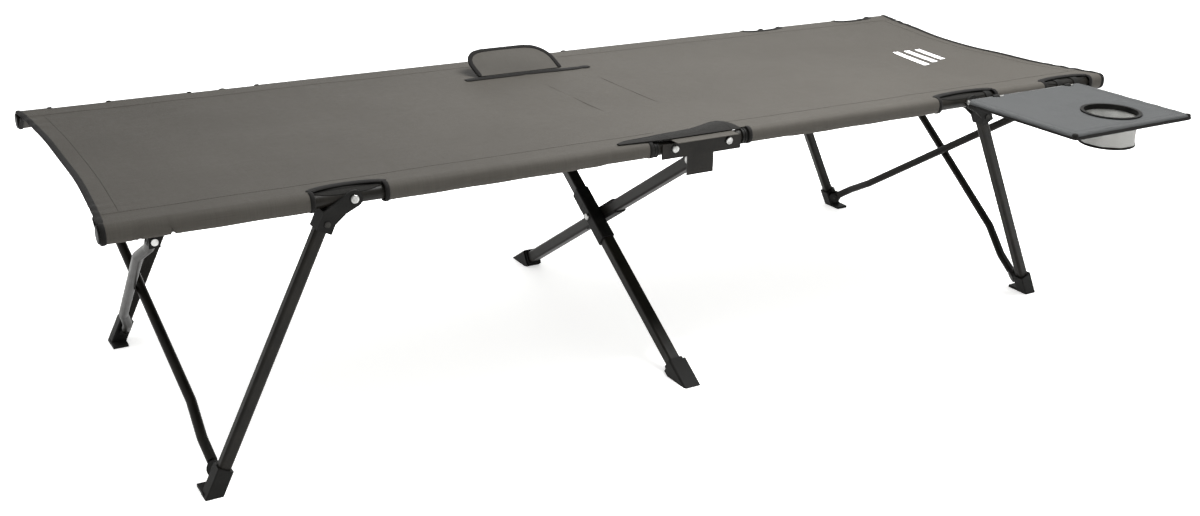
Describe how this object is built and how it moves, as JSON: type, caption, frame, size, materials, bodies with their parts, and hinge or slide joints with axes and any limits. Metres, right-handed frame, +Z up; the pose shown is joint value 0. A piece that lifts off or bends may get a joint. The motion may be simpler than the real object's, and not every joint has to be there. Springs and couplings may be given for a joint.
{
  "type": "folding cot",
  "caption": "Folding camp cot: cloth bed on two jointed side rails, crossed centre legs, braced folding end legs, swing-up side table with mesh cup holder.",
  "frame": {"origin": "on the floor at the centre of the whole footprint, side table included", "axes": "+X along the bed towards the side table's end, +Y across the bed away from the side table, +Z up"},
  "size_m": [1.905, 0.9428, 0.4812],
  "materials": {
    "powder_coated_steel": "satin black powder coat",
    "zinc_fasteners": "bright zinc plate",
    "bright_rod": "zinc-plated rod",
    "black_moulding": "fine-grained black moulding",
    "bed_cloth": "grey woven polyester",
    "table_cloth": "lighter blue-grey woven polyester",
    "pocket_cloth": "grey woven polyester with black binding",
    "pouch_mesh": "pale open mesh"
  },
  "bodies": {
    "centre_leg_a": {"x_leg_a": "powder_coated_steel", "x_foot_a": "black_moulding", "x_collar_a": "black_moulding", "x_hub_bolt": "zinc_fasteners"},
    "centre_leg_b": {"x_leg_b": "powder_coated_steel", "x_foot_b": "black_moulding", "x_collar_b": "black_moulding"},
    "hinge_near": {"hinge_channel_near": "powder_coated_steel", "hinge_bolts_near": "zinc_fasteners", "bed_centre": "bed_cloth"},
    "hinge_far": {"hinge_channel_far": "powder_coated_steel", "hinge_bolts_far": "zinc_fasteners"},
    "table": {"table_hinge_rod": "bright_rod", "table_outer_rod": "bright_rod", "table_side_rods": "bright_rod", "table_cloth": "table_cloth", "cup_ring": "black_moulding", "cup_pouch": "pouch_mesh"},
    "cup_bottom": {"cup_floor": "pouch_mesh"},
    "pocket_flap": {"pocket": "pocket_cloth"},
    "side_near_left": {"rail_near_left": "powder_coated_steel", "rail_fittings_near_left": "black_moulding", "rail_bolts_near_left": "zinc_fasteners", "bed_left": "bed_cloth"},
    "end_leg_near_left": {"leg_near_left": "powder_coated_steel", "leg_elbow_near_left": "black_moulding", "leg_boot_near_left": "black_moulding", "leg_pins_near_left": "zinc_fasteners"},
    "end_brace_near_left": {"brace_near_left": "powder_coated_steel"},
    "swivel_near_left": {"brace_swivel_near_left": "powder_coated_steel"},
    "side_near_right": {"rail_near_right": "powder_coated_steel", "rail_fittings_near_right": "black_moulding", "rail_bolts_near_right": "zinc_fasteners", "bed_right": "bed_cloth", "table_saddles": "black_moulding"},
    "end_leg_near_right": {"leg_near_right": "powder_coated_steel", "leg_elbow_near_right": "black_moulding", "leg_boot_near_right": "black_moulding", "leg_pins_near_right": "zinc_fasteners"},
    "end_brace_near_right": {"brace_near_right": "powder_coated_steel"},
    "swivel_near_right": {"brace_swivel_near_right": "powder_coated_steel"},
    "side_far_left": {"rail_far_left": "powder_coated_steel", "rail_fittings_far_left": "black_moulding", "rail_bolts_far_left": "zinc_fasteners"},
    "end_leg_far_left": {"leg_far_left": "powder_coated_steel", "leg_elbow_far_left": "black_moulding", "leg_boot_far_left": "black_moulding", "leg_pins_far_left": "zinc_fasteners"},
    "end_brace_far_left": {"brace_far_left": "powder_coated_steel"},
    "swivel_far_left": {"brace_swivel_far_left": "powder_coated_steel"},
    "side_far_right": {"rail_far_right": "powder_coated_steel", "rail_fittings_far_right": "black_moulding", "rail_bolts_far_right": "zinc_fasteners"},
    "end_leg_far_right": {"leg_far_right": "powder_coated_steel", "leg_elbow_far_right": "black_moulding", "leg_boot_far_right": "black_moulding", "leg_pins_far_right": "zinc_fasteners"},
    "end_brace_far_right": {"brace_far_right": "powder_coated_steel"},
    "swivel_far_right": {"brace_swivel_far_right": "powder_coated_steel"}
  },
  "joints": [
    {"name": "close", "type": "hinge", "parent": "centre_leg_a", "child": "centre_leg_b", "pos_m": [0, 0.12206, 0.20503], "axis": [-1, 0, 0], "range_deg": [0, 100], "deforming": ["bed_centre"]},
    {"name": "near_level", "type": "hinge", "parent": "centre_leg_b", "child": "hinge_near", "pos_m": [0.01125, -0.16794, 0.392], "axis": [1, 0, 0], "range_deg": [0, 50]},
    {"name": "far_level", "type": "hinge", "parent": "centre_leg_a", "child": "hinge_far", "pos_m": [-0.01125, 0.41206, 0.392], "axis": [-1, 0, 0], "range_deg": [0, 50]},
    {"name": "near_left_fold", "type": "hinge", "parent": "hinge_near", "child": "side_near_left", "pos_m": [-0.053, -0.18994, 0.428], "axis": [0, -1, 0], "range_deg": [0, 82.5], "deforming": ["bed_left"]},
    {"name": "near_left_leg_fold", "type": "hinge", "parent": "side_near_left", "child": "end_leg_near_left", "pos_m": [-0.6, -0.18994, 0.428], "axis": [0, -1, 0], "range_deg": [0, 115.8]},
    {"name": "near_left_brace_swing", "type": "hinge", "parent": "end_leg_near_left", "child": "end_brace_near_left", "pos_m": [-0.81963, -0.16194, 0.02881], "axis": [0.8207, 0.3698, -0.4356], "range_deg": [0, 57.43]},
    {"name": "near_left_swivel", "type": "hinge", "parent": "side_far_left", "child": "swivel_near_left", "pos_m": [-0.8775, 0.40606, 0.402], "axis": [0, -1, 0], "range_deg": [0, 115.8]},
    {"name": "near_right_fold", "type": "hinge", "parent": "hinge_near", "child": "side_near_right", "pos_m": [0.053, -0.18994, 0.428], "axis": [0, 1, 0], "range_deg": [0, 82.5], "deforming": ["bed_right"]},
    {"name": "near_right_leg_fold", "type": "hinge", "parent": "side_near_right", "child": "end_leg_near_right", "pos_m": [0.6, -0.18994, 0.428], "axis": [0, 1, 0], "range_deg": [0, 115.8]},
    {"name": "near_right_brace_swing", "type": "hinge", "parent": "end_leg_near_right", "child": "end_brace_near_right", "pos_m": [0.81963, -0.16194, 0.02881], "axis": [0.8207, -0.3698, 0.4356], "range_deg": [0, 57.43]},
    {"name": "near_right_swivel", "type": "hinge", "parent": "side_far_right", "child": "swivel_near_right", "pos_m": [0.8775, 0.40606, 0.402], "axis": [0, 1, 0], "range_deg": [0, 115.8]},
    {"name": "far_left_fold", "type": "hinge", "parent": "hinge_far", "child": "side_far_left", "pos_m": [-0.053, 0.43406, 0.428], "axis": [0, -1, 0], "range_deg": [0, 82.5]},
    {"name": "far_left_leg_fold", "type": "hinge", "parent": "side_far_left", "child": "end_leg_far_left", "pos_m": [-0.6, 0.43406, 0.428], "axis": [0, -1, 0], "range_deg": [0, 115.8]},
    {"name": "far_left_brace_swing", "type": "hinge", "parent": "end_leg_far_left", "child": "end_brace_far_left", "pos_m": [-0.81963, 0.40606, 0.02881], "axis": [-0.8207, 0.3698, 0.4356], "range_deg": [0, 57.43]},
    {"name": "far_left_swivel", "type": "hinge", "parent": "side_near_left", "child": "swivel_far_left", "pos_m": [-0.8775, -0.16194, 0.402], "axis": [0, -1, 0], "range_deg": [0, 115.8]},
    {"name": "far_right_fold", "type": "hinge", "parent": "hinge_far", "child": "side_far_right", "pos_m": [0.053, 0.43406, 0.428], "axis": [0, 1, 0], "range_deg": [0, 82.5]},
    {"name": "far_right_leg_fold", "type": "hinge", "parent": "side_far_right", "child": "end_leg_far_right", "pos_m": [0.6, 0.43406, 0.428], "axis": [0, 1, 0], "range_deg": [0, 115.8]},
    {"name": "far_right_brace_swing", "type": "hinge", "parent": "end_leg_far_right", "child": "end_brace_far_right", "pos_m": [0.81963, 0.40606, 0.02881], "axis": [-0.8207, -0.3698, -0.4356], "range_deg": [0, 57.43]},
    {"name": "far_right_swivel", "type": "hinge", "parent": "side_near_right", "child": "swivel_far_right", "pos_m": [0.8775, -0.16194, 0.402], "axis": [0, 1, 0], "range_deg": [0, 115.8]},
    {"name": "table_swing", "type": "hinge", "parent": "side_near_right", "child": "table", "pos_m": [0.645, -0.21594, 0.434], "axis": [-1, 0, 0], "range_deg": [0, 90]},
    {"name": "cup_collapse", "type": "slide", "parent": "table", "child": "cup_bottom", "axis": [0, 0, 1], "range_m": [0, 0.044], "deforming": ["cup_pouch"]},
    {"name": "pocket_tip", "type": "hinge", "parent": "hinge_far", "child": "pocket_flap", "pos_m": [-0.066, 0.31206, 0.4436], "axis": [1, 0, 0], "range_deg": [-29, 90]}
  ],
  "couplings": [
    {"joint": "near_level", "follows": "close", "ratio": 0.5},
    {"joint": "far_level", "follows": "close", "ratio": 0.5},
    {"joint": "near_left_leg_fold", "follows": "close", "ratio": 1.158},
    {"joint": "near_left_brace_swing", "follows": "close", "ratio": 0.57433},
    {"joint": "near_left_swivel", "follows": "close", "ratio": 1.158},
    {"joint": "near_right_leg_fold", "follows": "close", "ratio": 1.158},
    {"joint": "near_right_brace_swing", "follows": "close", "ratio": 0.57433},
    {"joint": "near_right_swivel", "follows": "close", "ratio": 1.158},
    {"joint": "far_left_fold", "follows": "near_left_fold", "ratio": 1},
    {"joint": "far_left_leg_fold", "follows": "close", "ratio": 1.158},
    {"joint": "far_left_brace_swing", "follows": "close", "ratio": 0.57433},
    {"joint": "far_left_swivel", "follows": "close", "ratio": 1.158},
    {"joint": "far_right_fold", "follows": "near_right_fold", "ratio": 1},
    {"joint": "far_right_leg_fold", "follows": "close", "ratio": 1.158},
    {"joint": "far_right_brace_swing", "follows": "close", "ratio": 0.57433},
    {"joint": "far_right_swivel", "follows": "close", "ratio": 1.158}
  ]
}
